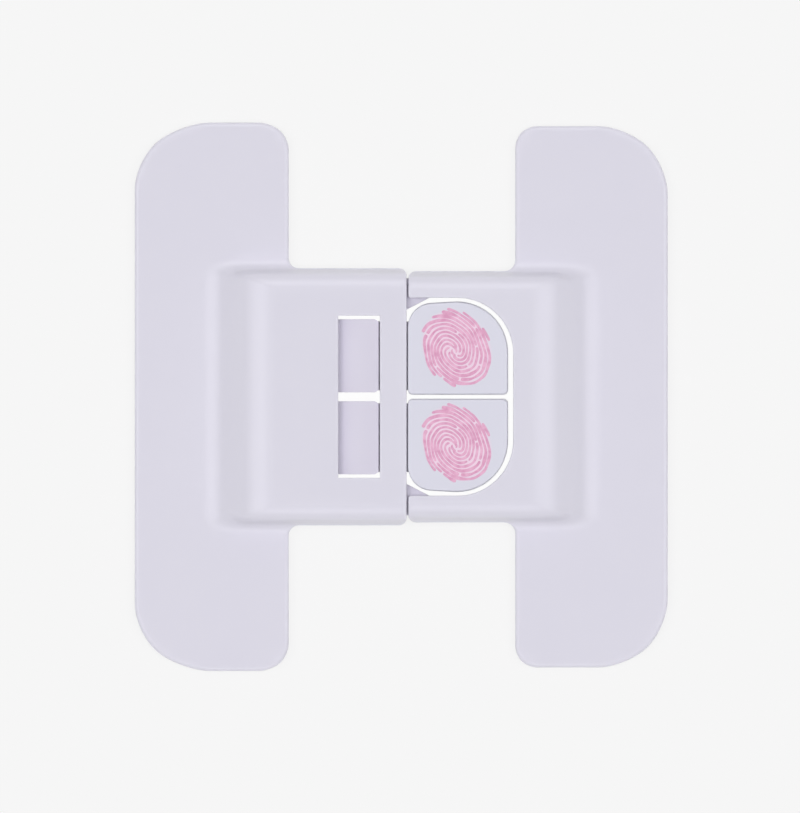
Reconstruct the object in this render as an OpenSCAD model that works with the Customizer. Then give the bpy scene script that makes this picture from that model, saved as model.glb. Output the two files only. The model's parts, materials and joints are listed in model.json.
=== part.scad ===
// Stick-on cabinet safety lock: a keeper half and a latch half that push together in a door's plane.
// Millimetres. Z = 0 is the door, +Z faces the room, and +X is the way the latch pulls out.

/* [Wings] */
// Width over both wings
overall_w = 90; // [86:0.5:110]
// Height of the keeper's wing
keeper_wing_h = 92.6; // [84:0.2:110]
// Height of the latch's wing
latch_wing_h = 91.4; // [84:0.2:110]
// Width of each wing
wing_w = 26; // [23:0.5:28]
// Thickness of the wings
wing_t = 2.2; // [1.6:0.1:3]
// Radius of a wing's outer corners
wing_outer_r = 11.8; // [6:0.2:12.6]
// Radius of a wing's inner corners
wing_inner_r = 4.2; // [2:0.2:6]
// Fillet radius where a wing meets its bridge
notch_r = 1.7; // [1:0.1:3]

/* [Bridge] */
// Rise of the bridge above the wings
bridge_rise = 6.8; // [6:0.2:9]
// Roof thickness of the keeper's bridge
roof_t = 2; // [1.4:0.1:2.4]
// Side wall thickness of the latch's bridge
side_t = 1.2; // [1:0.1:2]
// How far the keeper's sides stand out past the latch's
keeper_step = 0.5; // [0:0.1:1.5]
// Distance from the keeper's outer edge to the foot of its slope
slope_inset = 13.2; // [11:0.2:16]
// Length of the slope along X
slope_run = 7.2; // [4:0.2:8]
// Radius along the foot of the slope
slope_r = 3.8; // [2:0.2:5]
// Radius along the head of the slope
slope_head_r = 6.9; // [3:0.1:8]
// Radius along the bridge's top side edges
edge_r = 2.6; // [0.8:0.1:3]
// Distance of the keeper's mouth from the middle of the lock
mouth_x = 0.9; // [0:0.1:3]
// Gap between the two halves at the seam
seam_gap = 0.3; // [0.2:0.1:1]
// Corner cut at the ends of the bridges
end_cut = 0.8; // [0.4:0.1:1.2]

/* [Buttons] */
// Length of a button along X
button_l = 16.8; // [14:0.1:17]
// Width of a button along Y
button_w = 15.8; // [14.6:0.2:18]
// Gap between the two buttons
button_gap = 0.5; // [0.4:0.1:1.4]
// Gap between the buttons and the end of the opening round them
well_gap = 0.8; // [0.6:0.1:1.4]
// Gap between a button and the arm beside it
arm_gap = 0.55; // [0.5:0.05:1.4]
// Width of each arm beside the opening
arm_w = 4.6; // [3.6:0.1:6]
// Radius of a button's large corner
button_r = 8; // [4:0.2:9]
// Radius of a button's corner at the seam
button_heel_r = 3.8; // [1:0.2:4.4]
// Radius of a button's corners beside the other button
button_inner_r = 0.8; // [0.4:0.1:2]
// Diameter of the pegs under a button
peg_d = 2.4; // [1.6:0.1:3]

/* [Tongues] */
// Width of a tongue
tongue_w = 12.3; // [10:0.1:13]
// Gap between the two tongues
tongue_gap = 1.5; // [1:0.1:2.5]
// Thickness of a tongue
tongue_t = 1.8; // [1.4:0.1:2.2]
// Height of a hook above its tongue
hook_h = 1.7; // [1.2:0.1:1.9]
// Length of a hook's flat crest
hook_crest = 2; // [1:0.1:3]
// Gap between a hook and the window's edge
hook_play = 0.2; // [0.2:0.05:0.6]

/* [Window] */
// Length of the window along X
window_l = 7; // [6:0.2:8]
// Width of the roof between the window and the mouth
window_bar = 4.5; // [3:0.1:6]
// Gap between a tongue and the end of the window
window_slit = 0.6; // [0.4:0.05:1.2]

/* [Plug] */
// Thickness of the plug's rails and nose
frame_t = 3; // [2.2:0.1:3.2]
// Length of the plug's nose
nose_l = 3.4; // [2.6:0.2:5]
// Length of the plug's cross bar along X, which sets where the latch's slope starts
bar_l = 4.8; // [4.4:0.1:9]
// Running clearance of the plug in the keeper
slide_clear = 0.3; // [0.2:0.05:0.5]
// Diameter of the staked posts that hold the plug
post_d = 2.4; // [1.8:0.1:2.8]
// Diameter of the posts' flattened heads
post_head_d = 4.2; // [3.2:0.1:4.6]
// Thickness of the posts' flattened heads
post_head_t = 0.9; // [0.5:0.1:1.4]

/* [Tape] */
// Thickness of the foam tape
tape_t = 1; // [0.6:0.1:1.6]
// Distance of the tape from a wing's edges
tape_inset = 1.5; // [0.8:0.1:3]

/* [Hidden] */
$fn = 96;

// Overrun of every cut past the face it goes through
overrun = 1;
// Gap round a post or peg in its hole
peg_clear = 0.1;
// Gap round a tongue's root bead in the nose
bead_clear = 0.1;
// Gap between the plug's rails and the latch's side walls
rail_fit = 0.05;
// Gap between the nose and the end of the tunnel
nose_clear = 0.4;
// Corner cut on the nose that leads it into the keeper
nose_cut = 1.2;
// Gap between the plug's cross bar and what is in front of it and behind it
bar_clear = 0.4;
// Step of the rails behind the edges that they must not show past
rail_setback = 0.15;
// How far a rail's gusset reaches past the arm's end
gusset_reach = 3.7;
// Length over which a gusset narrows the rail
gusset_run = 5.7;
// Width of the guide ribs under the rails
rib_w = 1.6;
// Distance of a tongue's tip from the end of its button
tip_setback = 0.8;
// Shares of a button's length at which its pegs stand
peg_shares = [0.25, 0.75];
// Shares of the plug's half width at which its posts stand
post_shares = [0.28, 0.8];

// Levels above the door
wing_top = tape_t + wing_t;
bridge_top = wing_top + bridge_rise;
ceiling_z = bridge_top - roof_t;
plug_top = ceiling_z - slide_clear;
frame_z = plug_top - frame_t;
tongue_z = plug_top - tongue_t;
bead_r = tongue_t / 2;
bead_z = tongue_z + bead_r;
hook_top = plug_top + hook_h;

// Shape of a slope
slope_a = atan2(bridge_rise, slope_run);
slope_wall = roof_t / sin(slope_a);
foot_tangent = slope_r * tan(slope_a / 2);
head_tangent = slope_head_r * tan(slope_a / 2);

// Places along X, from the middle of the lock outwards
half_w = overall_w / 2;
wing_edge = half_w - wing_w;
keeper_foot = half_w - slope_inset;
latch_x = mouth_x + seam_gap;
button_x1 = latch_x + button_l;
well_x = button_x1 + well_gap;
bar_x0 = well_x + bar_clear;
bar_x1 = bar_x0 + bar_l;
latch_foot = bar_x1 + bar_clear + slope_wall + (plug_top - wing_top) / tan(slope_a);
window_x1 = mouth_x - window_bar;
window_x0 = window_x1 - window_l;
hook_x1 = window_x1 - hook_play;
hook_x0 = window_x0 + hook_play;
nose_x0 = nose_clear - tunnel_end(keeper_foot, ceiling_z);
bead_x = nose_x0 + nose_l;
tip_x = button_x1 - tip_setback;
tip_r = button_r - tip_setback;
gusset_x = latch_x + gusset_reach;

// Half widths along Y
button_y0 = button_gap / 2;
button_y1 = button_y0 + button_w;
well_y = button_y1 + arm_gap;
latch_y = well_y + arm_w;
keeper_y = latch_y + keeper_step;
latch_inner_y = latch_y - side_t;
rail_y = latch_inner_y - rail_fit;
keeper_inner_y = rail_y + slide_clear;
tongue_y0 = tongue_gap / 2;
tongue_y1 = tongue_y0 + tongue_w;
window_y = tongue_y1 + window_slit;
rail_inner_y = window_y + rail_setback;
rail_back_y = well_y + rail_setback;

// Distance from the middle at which the hollow under a slope ends, at height z
function tunnel_end(foot, z) = foot - slope_wall - (z - wing_top) / tan(slope_a);

// Quarter of a disc in the first quadrant
module quarter_disc(r) {
    intersection() {
        circle(r);
        square(r);
    }
}

// Rectangle with a radius of its own at each corner: near left, near right, far right and far left
module soft_rect(x0, y0, x1, y1, radii) {
    a = radii[0];
    b = radii[1];
    c = radii[2];
    d = radii[3];
    polygon([
        [x0, y0 + a], [x0 + a, y0 + a], [x0 + a, y0],
        [x1 - b, y0], [x1 - b, y0 + b], [x1, y0 + b],
        [x1, y1 - c], [x1 - c, y1 - c], [x1 - c, y1],
        [x0 + d, y1], [x0 + d, y1 - d], [x0, y1 - d]
    ]);
    corners = [[x0 + a, y0 + a], [x1 - b, y0 + b], [x1 - c, y1 - c], [x0 + d, y1 - d]];
    turns = [180, 270, 0, 90];
    for (i = [0 : len(corners) - 1])
        if (radii[i] > 0)
            translate(corners[i])
                rotate(turns[i])
                    quarter_disc(radii[i]);
}

// Both sides of a shape that is drawn on the +Y side
module both_sides() {
    children();
    mirror([0, 1, 0]) children();
}

// Plan of a wing, with the fillets that lead into its bridge
module wing_plan(wing_h, bridge_y) {
    soft_rect(wing_edge, -wing_h / 2, half_w, wing_h / 2,
        [wing_inner_r, wing_outer_r, wing_outer_r, wing_inner_r]);
    both_sides()
        difference() {
            translate([wing_edge - notch_r, bridge_y - notch_r])
                square([notch_r, notch_r + notch_r]);
            translate([wing_edge - notch_r, bridge_y + notch_r])
                circle(notch_r);
        }
}

// Side view of a bridge, from its end over the slope to the wing, with an arc at the slope's head and foot
module bridge_profile(end_x, foot) {
    slope_head = foot - slope_run;
    foot_x = foot + foot_tangent;
    along = [cos(slope_a), -sin(slope_a)];
    head = [slope_head - head_tangent, bridge_top];
    head_end = [slope_head, bridge_top] + head_tangent * along;
    foot_end = [foot, wing_top] - foot_tangent * along;
    polygon([
        [end_x, tape_t], [foot_x, tape_t], [foot_x, wing_top], [foot, wing_top],
        foot_end, head_end, head, [end_x, bridge_top]
    ]);
    intersection() {
        translate(head - [0, slope_head_r])
            circle(slope_head_r);
        polygon([head, [slope_head, bridge_top], head_end]);
    }
    difference() {
        polygon([[foot_x, wing_top], foot_end, [foot, wing_top]]);
        translate([foot_x, wing_top + slope_r])
            circle(slope_r);
    }
}

// Bridge with its slope and its rounded top edges, before it is hollowed
module bridge_block(end_x, bridge_y, foot) {
    foot_x = foot + foot_tangent;
    intersection() {
        rotate([90, 0, 0])
            linear_extrude(bridge_y * 2, center = true)
                bridge_profile(end_x, foot);
        translate([end_x, 0, 0])
            rotate([90, 0, 90])
                linear_extrude(foot_x - end_x)
                    soft_rect(-bridge_y, tape_t, bridge_y, bridge_top, [0, 0, edge_r, edge_r]);
        linear_extrude(bridge_top + overrun)
            polygon([
                [end_x, end_cut - bridge_y], [end_x + end_cut, -bridge_y], [foot_x, -bridge_y],
                [foot_x, bridge_y], [end_x + end_cut, bridge_y], [end_x, bridge_y - end_cut]
            ]);
    }
}

// Hollow under a bridge, open at the bridge's end and towards the door
module tunnel(end_x, inner_y, top_z, foot) {
    rotate([90, 0, 0])
        linear_extrude(inner_y * 2, center = true)
            polygon([
                [end_x - overrun, tape_t - overrun], [end_x - overrun, top_z],
                [tunnel_end(foot, top_z), top_z], [foot - slope_wall, wing_top],
                [foot - slope_wall, tape_t - overrun]
            ]);
}

// One half's wing and hollow bridge, drawn on the +X side
module half_shell(wing_h, bridge_y, end_x, inner_y, top_z, foot) {
    difference() {
        union() {
            translate([0, 0, tape_t])
                linear_extrude(wing_t)
                    wing_plan(wing_h, bridge_y);
            bridge_block(end_x, bridge_y, foot);
        }
        tunnel(end_x, inner_y, top_z, foot);
    }
}

module keeper_cover() {
    color("#dcdae6") {
        difference() {
            mirror([1, 0, 0])
                half_shell(keeper_wing_h, keeper_y, -mouth_x, keeper_inner_y, ceiling_z, keeper_foot);
            translate([window_x0, -window_y, ceiling_z - overrun])
                cube([window_l, window_y * 2, roof_t + overrun * 2]);
        }
        both_sides()
            translate([nose_x0, keeper_inner_y - rib_w, tape_t])
                cube([mouth_x - nose_x0, rib_w, frame_z - slide_clear - tape_t]);
    }
}

module latch_cover() {
    color("#dcdae6") {
        difference() {
            half_shell(latch_wing_h, latch_y, latch_x, latch_inner_y, plug_top, latch_foot);
            translate([0, 0, tape_t])
                linear_extrude(bridge_top - tape_t + overrun)
                    soft_rect(latch_x - overrun, -well_y, well_x, well_y,
                        [0, arm_gap + button_r, arm_gap + button_r, 0]);
        }
        at_posts() {
            translate([0, 0, frame_z])
                cylinder(d = post_d, h = frame_t + roof_t / 2);
            translate([0, 0, frame_z - post_head_t])
                cylinder(d = post_head_d, h = post_head_t);
        }
    }
}

// Places of the staked posts in the plug's cross bar
module at_posts() {
    both_sides()
        for (share = post_shares)
            translate([(bar_x0 + bar_x1) / 2, share * rail_y, 0])
                children();
}

// Plan of the plug's +Y side, run a little past the middle: nose, rail, gusset and cross bar
module frame_plan() {
    polygon([
        [nose_x0, -overrun], [nose_x0, rail_y - nose_cut], [nose_x0 + nose_cut, rail_y],
        [bar_x1, rail_y], [bar_x1, -overrun], [bar_x0, -overrun], [bar_x0, rail_back_y],
        [gusset_x, rail_back_y], [gusset_x - gusset_run, rail_inner_y],
        [bead_x, rail_inner_y], [bead_x, -overrun]
    ]);
}

module latch_frame() {
    color("#d6d3e0")
        difference() {
            both_sides()
                translate([0, 0, frame_z])
                    linear_extrude(frame_t)
                        frame_plan();
            translate([bead_x, 0, bead_z])
                rotate([90, 0, 0])
                    cylinder(r = bead_r + bead_clear, h = rail_inner_y * 2, center = true);
            at_posts()
                translate([0, 0, frame_z - overrun])
                    cylinder(d = post_d + peg_clear * 2, h = frame_t + overrun * 2);
        }
}

// Places of the pegs along a button's middle line
module at_pegs() {
    for (share = peg_shares)
        translate([latch_x + share * button_l, tongue_y0 + tongue_w / 2, 0])
            children();
}

// Spring tongue of the +Y side: round root, blade with a round tip corner, wedge hook and peg holes
module tongue() {
    difference() {
        union() {
            translate([0, 0, tongue_z])
                linear_extrude(tongue_t)
                    soft_rect(bead_x, tongue_y0, tip_x, tongue_y1, [0, 0, tip_r, 0]);
            translate([bead_x, tongue_y0, bead_z])
                rotate([-90, 0, 0])
                    cylinder(r = bead_r, h = tongue_w);
            translate([0, tongue_y1, 0])
                rotate([90, 0, 0])
                    linear_extrude(tongue_w)
                        polygon([
                            [hook_x0, tongue_z], [hook_x1, tongue_z], [hook_x1, hook_top],
                            [hook_x1 - hook_crest, hook_top], [hook_x0, plug_top]
                        ]);
        }
        at_pegs()
            translate([0, 0, tongue_z - overrun])
                cylinder(d = peg_d + peg_clear * 2, h = tongue_t + overrun * 2);
    }
}

module upper_tongue() {
    color("#d3d0de")
        tongue();
}

module lower_tongue() {
    color("#d3d0de")
        mirror([0, 1, 0])
            tongue();
}

// Finger button of the +Y side, with the pegs that hold it on its tongue
module button() {
    translate([0, 0, plug_top])
        linear_extrude(bridge_top - plug_top)
            soft_rect(latch_x, button_y0, button_x1, button_y1,
                [button_inner_r, button_inner_r, button_r, button_heel_r]);
    at_pegs()
        translate([0, 0, tongue_z])
            cylinder(d = peg_d, h = tongue_t + (bridge_top - plug_top) / 2);
}

module upper_button() {
    color("#d8dbe5")
        button();
}

module lower_button() {
    color("#d8dbe5")
        mirror([0, 1, 0])
            button();
}

// Foam tape under the +Y end of a wing, drawn on the +X side
module end_tape(wing_h, bridge_y) {
    color("#e6e6e3")
        linear_extrude(tape_t)
            soft_rect(wing_edge + tape_inset, bridge_y + tape_inset,
                half_w - tape_inset, wing_h / 2 - tape_inset,
                [tape_inset, tape_inset, wing_outer_r - tape_inset, wing_inner_r - tape_inset]);
}

// Foam tape under the middle of a wing, drawn on the +X side
module middle_tape(bridge_y, foot) {
    color("#e6e6e3")
        linear_extrude(tape_t)
            soft_rect(foot - slope_wall + tape_inset, tape_inset - bridge_y,
                half_w - tape_inset, bridge_y - tape_inset,
                [tape_inset, tape_inset, tape_inset, tape_inset]);
}

module keeper_tape_upper() {
    mirror([1, 0, 0]) end_tape(keeper_wing_h, keeper_y);
}

module keeper_tape_middle() {
    mirror([1, 0, 0]) middle_tape(keeper_y, keeper_foot);
}

module keeper_tape_lower() {
    mirror([0, 1, 0]) keeper_tape_upper();
}

module latch_tape_upper() {
    end_tape(latch_wing_h, latch_y);
}

module latch_tape_middle() {
    middle_tape(latch_y, latch_foot);
}

module latch_tape_lower() {
    mirror([0, 1, 0]) latch_tape_upper();
}

keeper_cover();
keeper_tape_upper();
keeper_tape_middle();
keeper_tape_lower();
latch_cover();
latch_frame();
upper_tongue();
lower_tongue();
upper_button();
lower_button();
latch_tape_upper();
latch_tape_middle();
latch_tape_lower();
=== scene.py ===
"""Dress a stick-on cabinet safety lock.

Its pieces are soft-edged covers, a plug, sprung tongues, printed buttons and foam tape.
"""

import json
import logging
import math
import random
from dataclasses import dataclass, field
from enum import Enum
from typing import Any, Callable, Iterable, Sequence

import bmesh
import bpy
import numpy as np
from mathutils import Matrix, Vector


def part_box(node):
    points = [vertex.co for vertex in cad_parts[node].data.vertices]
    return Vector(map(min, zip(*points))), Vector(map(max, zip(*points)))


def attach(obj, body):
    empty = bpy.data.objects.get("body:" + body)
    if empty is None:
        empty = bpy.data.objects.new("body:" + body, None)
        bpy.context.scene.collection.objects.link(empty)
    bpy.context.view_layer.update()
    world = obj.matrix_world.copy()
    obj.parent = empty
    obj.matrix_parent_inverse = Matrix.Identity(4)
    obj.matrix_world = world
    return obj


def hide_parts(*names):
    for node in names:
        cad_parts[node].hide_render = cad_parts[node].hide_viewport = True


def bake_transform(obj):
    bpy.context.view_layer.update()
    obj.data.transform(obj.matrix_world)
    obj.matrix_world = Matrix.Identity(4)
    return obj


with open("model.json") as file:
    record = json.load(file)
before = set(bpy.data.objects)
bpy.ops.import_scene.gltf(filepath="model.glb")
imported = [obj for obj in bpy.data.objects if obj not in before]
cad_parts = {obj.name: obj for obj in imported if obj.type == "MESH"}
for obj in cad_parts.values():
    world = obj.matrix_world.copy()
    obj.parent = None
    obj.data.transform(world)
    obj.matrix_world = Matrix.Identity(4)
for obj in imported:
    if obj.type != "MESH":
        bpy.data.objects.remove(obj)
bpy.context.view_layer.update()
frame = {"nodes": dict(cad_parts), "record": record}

log = logging.getLogger("safety_lock")

BMesh = bmesh.types.BMesh
BMVert = bmesh.types.BMVert
BMEdge = bmesh.types.BMEdge
Material = bpy.types.Material
Object = bpy.types.Object
Point = tuple[float, float]
Corner = tuple[float, float, float]
Colour = tuple[float, ...]
Numbers = np.ndarray
Rim = tuple[Vector, Vector, float, float]
Stroke = list[tuple[Point, float]]

MM = 0.001
SHARP_ANGLE = math.radians(38)
FLAT_ANGLE = math.radians(0.5)
# Distances in millimetres within which points of a solid, of a cut and of a stroke are one
SOLID_MERGE = 1e-3
CUT_MERGE = 1e-4
STROKE_MERGE = 1e-5
# Least distance in millimetres between two cuts
LEAST_CUT = 0.02
# Depths in millimetres of the rings of faces inside an outline
RING_DEPTHS = (0.03, 0.1, 0.2, 0.32)
EDGE_STEPS = 3
CORNER_STEPS_PER_MM = 2.2
LEAST_CORNER_STEPS = 5
PIN_SIDES = 32
# Factor between two equal radii by which their corners are rounded one after the other
APART = 1.001
# Share of a quarter oval's half axes at which the tangent of its middle meets both edges
OVAL_SHARE = 2 - math.sqrt(2)
# Share of that tangent's length which the round at each of its ends takes
OVAL_ROUND = 0.49


class Body(str, Enum):
    """Bodies that the pieces ride on."""

    KEEPER = "keeper"
    LATCH = "latch"
    UPPER_LEVER = "upper_lever"
    LOWER_LEVER = "lower_lever"


class Slot(str, Enum):
    """Material slots of the part."""

    COVER = "cover_plastic"
    PLUG = "plug_plastic"
    BUTTON = "button_plastic"
    TAPE = "foam_tape"
    INK = "print_ink"


class Side(Enum):
    """The two sides of the lock along Y."""

    UPPER = 1
    LOWER = -1

    @property
    def word(self) -> str:
        """Name of the side as the pieces use it."""
        return self.name.lower()

    @property
    def lever(self) -> Body:
        """Body of the lever on this side."""
        return Body.UPPER_LEVER if self is Side.UPPER else Body.LOWER_LEVER


class TapePlace(Enum):
    """Places of the foam tape along a wing."""

    UPPER = "upper"
    MIDDLE = "middle"
    LOWER = "lower"


class Rounded(Enum):
    """What a bevel rounds."""

    EDGES = "EDGES"
    CORNERS = "VERTICES"


class Axis(Enum):
    """Axes of the lock's frame."""

    X = (1.0, 0.0, 0.0)
    Y = (0.0, 1.0, 0.0)
    Z = (0.0, 0.0, 1.0)


def linear(*screen: int) -> Colour:
    """Linear light of a screen colour whose channels run from 0 to 255."""
    shares = [channel / 255 for channel in screen]
    return tuple(s / 12.92 if s <= 0.04045 else ((s + 0.055) / 1.055) ** 2.4 for s in shares)


def node_box(node: str) -> tuple[Vector, Vector]:
    """Lowest and highest corners of a node at rest, in millimetres."""
    low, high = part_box(node)
    return Vector(low) / MM, Vector(high) / MM


class Value:
    """A socket in a node tree, so that shader maths reads as an expression."""

    def __init__(self, tree: "Tree", socket: bpy.types.NodeSocket) -> None:
        """Wrap an output socket of a tree."""
        self.tree, self.socket = tree, socket

    def _math(self, operation: str, first: Any, second: Any = 0.0) -> "Value":
        """Result of one Math node."""
        return self.tree.node("ShaderNodeMath", {"operation": operation}, {0: first, 1: second})

    def __add__(self, other: Any) -> "Value":
        """Sum of two values."""
        return self._math("ADD", self, other)

    __radd__ = __add__

    def __sub__(self, other: Any) -> "Value":
        """Difference of two values."""
        return self._math("SUBTRACT", self, other)

    def __rsub__(self, other: Any) -> "Value":
        """Difference of a number and this value."""
        return self._math("SUBTRACT", other, self)

    def __mul__(self, other: Any) -> "Value":
        """Product of two values."""
        return self._math("MULTIPLY", self, other)

    __rmul__ = __mul__

    def __truediv__(self, other: Any) -> "Value":
        """Quotient of two values."""
        return self._math("DIVIDE", self, other)

    def __lt__(self, other: Any) -> "Value":
        """One where this value is the smaller, and zero elsewhere."""
        return self._math("LESS_THAN", self, other)

    def absolute(self) -> "Value":
        """Size of the value without its sign."""
        return self._math("ABSOLUTE", self)

    def at_most(self, other: Any) -> "Value":
        """Smaller of two values."""
        return self._math("MINIMUM", self, other)

    def at_least(self, other: Any) -> "Value":
        """Larger of two values."""
        return self._math("MAXIMUM", self, other)

    def clamped(self) -> "Value":
        """This value, held between zero and one."""
        return self.at_least(0.0).at_most(1.0)


@dataclass(frozen=True)
class Mottle:
    """A smooth noise: length of its blotches, number of finer layers, and a shift that makes it its own."""

    size_mm: float
    layers: float
    shift: float


class Tree:
    """Node tree of one material, filled from Python expressions."""

    def __init__(self, name: str) -> None:
        """Make an empty material with an output.

        Args:
            name: Name of the material.
        """
        self.material = bpy.data.materials.new(name)
        self.material.use_nodes = True
        self.nodes = self.material.node_tree.nodes
        self.links = self.material.node_tree.links
        self.nodes.clear()
        self.output = self.nodes.new("ShaderNodeOutputMaterial")

    def node(self, kind: str, settings: dict[str, Any], sockets: dict[Any, Any], out: Any = 0) -> Value:
        """Add any node.

        Args:
            kind: Type of the node.
            settings: Properties of the node, set before its sockets; "stops" fills a colour ramp.
            sockets: Values or links of its inputs, by name or number.
            out: Name or number of the output to return.

        Returns:
            The chosen output.
        """
        made = self.nodes.new(kind)
        for name, setting in settings.items():
            if name == "stops":
                self._fill_ramp(made.color_ramp, setting)
            else:
                setattr(made, name, setting)
        for name, value in sockets.items():
            if isinstance(value, Value):
                self.links.new(value.socket, made.inputs[name])
            else:
                made.inputs[name].default_value = value
        return Value(self, made.outputs[out])

    @staticmethod
    def _fill_ramp(ramp: bpy.types.ColorRamp, stops: Sequence[Point]) -> None:
        """Give a ramp its grey stops.

        Args:
            ramp: Ramp to fill.
            stops: Place and grey level of each stop.
        """
        while len(ramp.elements) < len(stops):
            ramp.elements.new(1.0)
        for element, (place, grey) in zip(ramp.elements, stops):
            element.position = place
            element.color = (grey, grey, grey, 1.0)

    def place(self) -> Value:
        """Object coordinates of the surface, in metres."""
        return self.node("ShaderNodeTexCoord", {}, {}, "Object")

    def along(self, axis: Axis) -> Value:
        """One object coordinate of the surface, in metres."""
        return self.node("ShaderNodeSeparateXYZ", {}, {"Vector": self.place()}, axis.name)

    def ray(self, kind: str) -> Value:
        """What the light path says of a ray."""
        return self.node("ShaderNodeLightPath", {}, {}, kind)

    def noise(self, mottle: Mottle) -> Value:
        """Smooth noise over the surface.

        Args:
            mottle: Length, layers and shift of the noise.

        Returns:
            Noise from 0 to 1.
        """
        moved = self.node("ShaderNodeMapping", {}, {"Vector": self.place(), "Location": (mottle.shift,) * 3})
        sockets = {"Vector": moved, "Scale": 1 / (mottle.size_mm * MM), "Detail": mottle.layers}
        return self.node("ShaderNodeTexNoise", {}, sockets)

    def blend(self, share: Any, first: Any, second: Any) -> Value:
        """Mix of two colours, linear or linked, with a share of the second."""
        first, second = (c if isinstance(c, Value) else (*c, 1.0) for c in (first, second))
        return self.node("ShaderNodeMix", {"data_type": "RGBA"}, {0: share, 6: first, 7: second}, 2)

    def bump(self, height: Value, depth_mm: float, **under: Value) -> Value:
        """Normal of a height from 0 to 1 with a given depth, laid on the Normal under it if there is one."""
        sockets = {"Height": height, "Distance": depth_mm * MM, "Strength": 1.0, **under}
        return self.node("ShaderNodeBump", {}, sockets)

    def closed(self, shader: Value) -> Material:
        """The material, with its shader on the output."""
        self.links.new(shader.socket, self.output.inputs["Surface"])
        return self.material

    def surface(self, **sockets: Any) -> Material:
        """The material, closed with a principled shader whose inputs have underscores for spaces."""
        named = {name.replace("_", " "): value for name, value in sockets.items()}
        return self.closed(self.node("ShaderNodeBsdfPrincipled", {}, named))


@dataclass(frozen=True)
class PrintHaze:
    """Thin veil of ink between a print's ridges, as a tilted ellipse on a face, in millimetres."""

    centre: Point
    half_length: float
    half_width: float
    tilt: float
    face_z: float
    depth: float = 1.0
    colour: Colour = linear(240, 211, 228)
    strength: float = 0.8
    soft_edge: float = 0.16
    patches: Mottle = Mottle(1.6, 2.0, 0.3)
    patch_swing: float = 0.5
    patch_least: float = 0.72

    def mask(self, tree: Tree) -> Value:
        """Share of the veil at each place.

        Args:
            tree: Tree of the plastic that carries the print.

        Returns:
            The veil's share from 0 to about its strength.
        """
        turned = tree.node(
            "ShaderNodeMapping",
            {"vector_type": "TEXTURE"},
            {
                "Vector": tree.place(),
                "Location": (self.centre[0] * MM, self.centre[1] * MM, 0.0),
                "Rotation": (0.0, 0.0, self.tilt),
                "Scale": (self.half_length * MM, self.half_width * MM, 1.0),
            },
        )
        flat = tree.node("ShaderNodeVectorMath", {"operation": "MULTIPLY"}, {0: turned, 1: (1.0, 1.0, 0.0)})
        reach = tree.node("ShaderNodeVectorMath", {"operation": "LENGTH"}, {0: flat}, "Value")
        inside = ((1.0 - reach) / self.soft_edge).clamped()
        on_face = 1.0 - (tree.along(Axis.Z) < (self.face_z - self.depth) * MM)
        patchy = tree.noise(self.patches) * self.patch_swing + self.patch_least
        return inside * on_face * patchy * self.strength


@dataclass(frozen=True)
class MouldedPlastic:
    """Satin moulded plastic with a fine spark-eroded grain and a faint cloudiness."""

    name: str
    colour: Colour
    cloud: Colour
    clouds: Mottle = Mottle(9.0, 4.0, 0.23)
    matt: float = 0.55
    gloss: float = 0.6
    roughness: float = 0.38
    roughness_swing: float = 0.12
    sheen: Mottle = Mottle(1.4, 3.0, 0.71)
    grain: Mottle = Mottle(0.22, 3.0, 0.11)
    grain_depth_mm: float = 0.0022
    ripple: Mottle = Mottle(5.0, 1.0, 0.57)
    ripple_depth_mm: float = 0.012
    haze: PrintHaze | None = None

    def material(self) -> Material:
        """Build the plastic's material.

        Returns:
            The finished material.
        """
        tree = Tree(self.name)
        colour = tree.blend(tree.noise(self.clouds), self.colour, self.cloud)
        if self.haze:
            colour = tree.blend(self.haze.mask(tree), colour, self.haze.colour)
        least = self.roughness - self.roughness_swing / 2
        waved = tree.bump(tree.noise(self.ripple), self.ripple_depth_mm)
        return tree.surface(
            Base_Color=colour,
            Diffuse_Roughness=self.matt,
            Roughness=tree.noise(self.sheen) * self.roughness_swing + least,
            Specular_IOR_Level=self.gloss,
            Normal=tree.bump(tree.noise(self.grain), self.grain_depth_mm, Normal=waved),
        )


@dataclass(frozen=True)
class PrintInk:
    """Pad-printed ink whose density varies from ridge to ridge."""

    name: str
    full: Colour
    thin: Colour
    density: Mottle = Mottle(0.9, 3.0, 0.41)
    density_stops: tuple[Point, ...] = ((0.36, 0.0), (0.68, 1.0))
    depth_mm: float = 0.004
    gloss: float = 0.35
    roughness: float = 0.5
    roughness_swing: float = 0.12
    sheen: Mottle = Mottle(0.3, 2.0, 0.19)

    def material(self) -> Material:
        """Build the ink's material.

        Returns:
            The finished material.
        """
        tree = Tree(self.name)
        density = tree.noise(self.density)
        level = tree.node("ShaderNodeValToRGB", {"stops": self.density_stops}, {"Fac": density})
        return tree.surface(
            Base_Color=tree.blend(level, self.full, self.thin),
            Roughness=tree.noise(self.sheen) * self.roughness_swing + self.roughness,
            Specular_IOR_Level=self.gloss,
            Normal=tree.bump(density, self.depth_mm),
        )


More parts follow.
